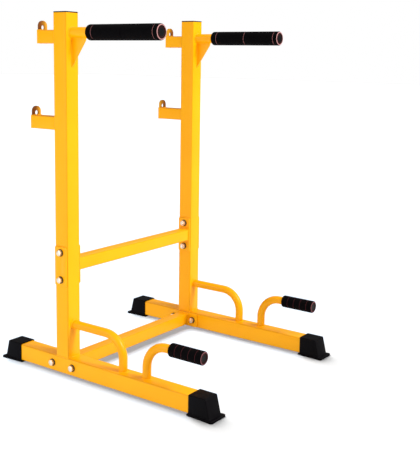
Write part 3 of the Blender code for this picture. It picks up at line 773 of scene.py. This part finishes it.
bpy.ops.mesh.bevel(offset=SOLE_EDGE, segments=3, affect="EDGES")
bpy.ops.object.mode_set(mode="OBJECT")
combine(foot, sole, "UNION")
low = Vector((-BORE_HALF_WIDTH, -TUBE_IN_FOOT, TUBE_MIDDLE - BORE_HALF_WIDTH))
core = block("core", low, Vector((BORE_HALF_WIDTH, 0.05, TUBE_MIDDLE + BORE_HALF_WIDTH)))
pick("EDGE", lambda edge: edge_way(edge).y > 0.9)
bpy.ops.mesh.bevel(offset=0.004, segments=5, affect="EDGES")
bpy.ops.object.mode_set(mode="OBJECT")
combine(foot, core, "DIFFERENCE")
bpy.context.view_layer.objects.active = foot
bpy.ops.object.mode_set(mode="EDIT")


def meets_sole(edge):
    """True for the inside corner where the sleeve rises from the sole."""
    outside = all(abs(v.co.x) > 0.0262 or v.co.y < -0.052 for v in edge.verts)
    return outside and not edge.is_convex and all(0.003 < v.co.z < 0.008 for v in edge.verts)


pick("EDGE", meets_sole)
bpy.ops.mesh.bevel(offset=FILLET, segments=4, affect="EDGES")
bpy.ops.object.mode_set(mode="OBJECT")
round_edges(foot, width=0.0004, segments=2, angle=50)
for side in ("left", "right"):
    for end, turn in (("front", 0), ("rear", math.pi)):
        node = f"{side}_{end}_foot"
        low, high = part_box(node)
        lip = low.y if end == "front" else high.y
        at = ((low.x + high.x) / 2, lip + (FOOT_LIP if end == "front" else -FOOT_LIP), 0)
        put(foot, f"{node}_rubber", at, (0, 0, turn), rubber, "black_rubber", node)
bpy.data.objects.remove(foot)


# Post caps: black plastic plugs pressed into the open tops of the posts. Only the thin rim shows, with its
# edge rounded over; below it a hollow shank grips the inside of the tube.
plastic, shader, place = new_finish("satin_black_plastic", Specular_IOR_Level=0.07)
patchy = place.noise(40.0, 3.0)
patchy.blend((0.003, 0.003, 0.0035, 1), (0.006, 0.006, 0.007, 1)).into(shader.inputs["Base Color"])
(place.noise(120.0, 3.0) * 0.15 + 0.32).into(shader.inputs["Roughness"])
place.noise(1600.0, 2.0).bump_into(shader, 0.00006)

RIM_THICKNESS = 0.003
RIM_CORNER, RIM_EDGE = 0.004, 0.0012
SHANK_STEP_IN = 0.0023  # from the rim's edge
SHANK_WALL = 0.0025
for side in ("left", "right"):
    node = f"{side}_post_cap"
    low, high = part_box(node)
    rim_foot = high.z - RIM_THICKNESS
    cap = block(f"{node}_moulding", Vector((low.x, low.y, rim_foot)), high)
    pick("EDGE", lambda edge: edge_way(edge).z > 0.9)
    bpy.ops.mesh.bevel(offset=RIM_CORNER, segments=5, affect="EDGES")
    pick("EDGE", lambda edge: edge_way(edge).z < 0.1 and edge_middle(edge).z > high.z - 0.001)
    bpy.ops.mesh.bevel(offset=RIM_EDGE, segments=4, affect="EDGES")
    pick("FACE", lambda face: face.normal.z < -0.9)
    shank = rim_foot - low.z
    for inset, depth in ((SHANK_STEP_IN, -shank), (SHANK_WALL, shank - SHANK_WALL)):
        bpy.ops.mesh.inset(thickness=inset, use_even_offset=True)
        pull(0, 0, depth)
    bpy.ops.object.mode_set(mode="OBJECT")
    done(cap, plastic, "black_plastic", node)


# Grips: sleeves of closed-cell foam slid over the handles. A thin black skin lies over a red core, which
# shows where rings are cut into the skin and on the cut ends. The core is painted paler on the ends and on
# the dip grips and darkest in the push-up rings, as light and shade. Their sizes here are in millimetres.
GRIP_EDGE = 4.0  # rounding of the ends
RING_HALF_WIDTH = 1.5
RING_DEPTH = 1.1
SKIN = 1.7  # thickness of the black foam
PLUG_SEAT = 3.3  # depth of the recess for the end plug
DIP_RINGS = (114, 222, 331)  # in front of the post's middle
PUSH_UP_RINGS = (410, 432.5, 455, 477.5)

foam, shader, place = new_finish("black_foam_skin", Specular_IOR_Level=0.05)
patchy = place.noise(60.0, 4.0)
patchy.blend((0.0007, 0.0005, 0.0008, 1), (0.0018, 0.0012, 0.0015, 1)).into(shader.inputs["Base Color"])
(place.noise(90.0, 3.0) * 0.2 + 0.75).into(shader.inputs["Roughness"])
(place.noise(1100.0, 3.0, 0.6) + place.noise(150.0, 2.0) * 1.5).bump_into(shader, 0.00025)
lit_and_shaded_cores = {}
# painted light and shade: one red core in four copies, paler where light catches it, darker in shade
for where, dark, light in (
    ("dip_rings", (0.24, 0.085, 0.085, 1), (0.34, 0.14, 0.135, 1)),
    ("dip_ends", (0.44, 0.21, 0.205, 1), (0.56, 0.29, 0.28, 1)),
    ("push_up_rings", (0.045, 0.009, 0.011, 1), (0.075, 0.016, 0.019, 1)),
    ("push_up_ends", (0.17, 0.060, 0.068, 1), (0.24, 0.095, 0.105, 1)),
):
    lit_and_shaded_cores[where], shader, place = new_finish(f"red_foam_core_{where}", Specular_IOR_Level=0.1)
    place.noise(80.0, 4.0).blend(dark, light).into(shader.inputs["Base Color"])
    (place.noise(90.0, 3.0) * 0.2 + 0.75).into(shader.inputs["Roughness"])
    place.noise(1100.0, 3.0, 0.6).bump_into(shader, 0.0002)

for side in ("left", "right"):
    for part, bore, plug, rings in (
        ("dip", 15.3, 17.8, DIP_RINGS),
        ("push_up", 12.8, 15.3, PUSH_UP_RINGS),
    ):
        node = f"{side}_{part}_grip"
        low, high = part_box(node)
        middle = (low + high) / 2
        radius = (high.z - low.z) * 500
        length = (high.y - low.y) * 1000
        post_y = (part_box(f"{side}_post")[0].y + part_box(f"{side}_post")[1].y) / 2
        profile = [(plug, 0)]
        for step in range(7):
            angle = math.radians(90 - 15 * step)
            inward = GRIP_EDGE * (1 - math.cos(angle))
            profile.append((radius - inward, GRIP_EDGE * (math.sin(angle) - 1)))
        for ring in sorted(rings, reverse=True):
            back = (post_y - low.y) * 1000 - ring
            for step in range(9):
                part_way = step / 4 - 1
                drop = RING_DEPTH * (1 - abs(part_way) ** 3)
                profile.append((radius - drop, -back - part_way * RING_HALF_WIDTH))
        for step in range(7):
            angle = math.radians(15 * step)
            inward = GRIP_EDGE * (1 - math.cos(angle))
            profile.append((radius - inward, -length + GRIP_EDGE * (1 - math.sin(angle))))
        profile += [(bore, -length), (bore, -PLUG_SEAT), (plug, -PLUG_SEAT), (plug, 0)]
        grip = turned(f"{node}_foam", profile, sides=64)

        def bared(out, height):
            """2 on the bare ends, 1 in the bare rings; the left dip grip's middle ring stays black as shade."""
            if height > -GRIP_EDGE or height < GRIP_EDGE - length:
                return 2 if out < radius - SKIN else 0
            # painted shade: this ring keeps the black skin
            ring_in_painted_shade = node == "left_dip_grip" and abs(height + length / 2) < 12
            return not ring_in_painted_shade and out < radius - RING_DEPTH * 0.8

        paint(grip, (foam, lit_and_shaded_cores[f"{part}_rings"], lit_and_shaded_cores[f"{part}_ends"]), bared)
        grip.location = (middle.x, low.y, middle.z)
        grip.rotation_euler = (math.radians(90), 0, 0)
        done(grip, foam, "black_foam", node)


# End plugs: small moulded plastic plugs that close the handles' open ends, flush with the foam. The face is
# dished a little; it is black in the dish, and its rim is a dark red-brown like the foam round it.
FLANGE_OVER_TUBE = 2.5  # these in millimetres
FLANGE_THICKNESS = 3.0
DISH_DEPTH = 0.9
PLUG_LENGTH = 21
PLUG_CLEARANCE = 0.3

rim_plastic, shader, place = new_finish("brown_plug_rim", Specular_IOR_Level=0.05)
patchy = place.noise(60.0, 3.0)
patchy.blend((0.012, 0.0025, 0.002, 1), (0.022, 0.006, 0.005, 1)).into(shader.inputs["Base Color"])
(place.noise(120.0, 3.0) * 0.15 + 0.4).into(shader.inputs["Roughness"])

for side in ("left", "right"):
    for part, tube_radius, wall in (("dip", 15.0, 2.0), ("push_up", 12.5, 1.8)):
        node = f"{side}_{part}_end_plug"
        low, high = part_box(node)
        middle = (low + high) / 2
        flange, shank = tube_radius + FLANGE_OVER_TUBE, tube_radius - wall - PLUG_CLEARANCE
        dish = [(0, -DISH_DEPTH), (flange * 0.62, -DISH_DEPTH), (flange * 0.72, -0.55), (flange * 0.8, 0)]
        rim = [(flange - 1.2, 0), (flange - 0.6, -0.16), (flange - 0.16, -0.6), (flange, -1.2)]
        back = [(flange, -FLANGE_THICKNESS), (shank, -FLANGE_THICKNESS)]
        tip = [(shank, 1 - PLUG_LENGTH), (shank - 1.2, -PLUG_LENGTH), (0, -PLUG_LENGTH)]
        plug = turned(f"{node}_moulding", [*dish, *rim, *back, *tip])
        plug.location = (middle.x, low.y, middle.z)
        plug.rotation_euler = (math.radians(90), 0, 0)
        paint(plug, (plastic, rim_plastic), lambda out, height: out > flange * 0.64)
        done(plug, plastic, "black_plastic", node)


# The floor's finish: plain, pale and matt, with the slightest cloudiness. It is a little cooler under the
# rack, where the yellow coat warms its shadow, and neutral from the front feet forward.
COOL_BEHIND, NEUTRAL_BEFORE = -0.30, -0.36  # along Y

floor_finish, shader, place = new_finish("pale_floor", Roughness=0.9, Specular_IOR_Level=0.1)
cool = place.noise(3.0, 2.0).blend((0.295, 0.325, 0.36, 1), (0.305, 0.335, 0.37, 1))
under_rack = place.node("SeparateXYZ", {}, {0: place}, 1).between(NEUTRAL_BEFORE, COOL_BEHIND)
under_rack.blend((0.298, 0.298, 0.298, 1), cool).into(shader.inputs["Base Color"])
floor.data.materials.append(floor_finish)

bpy.context.view_layer.update()
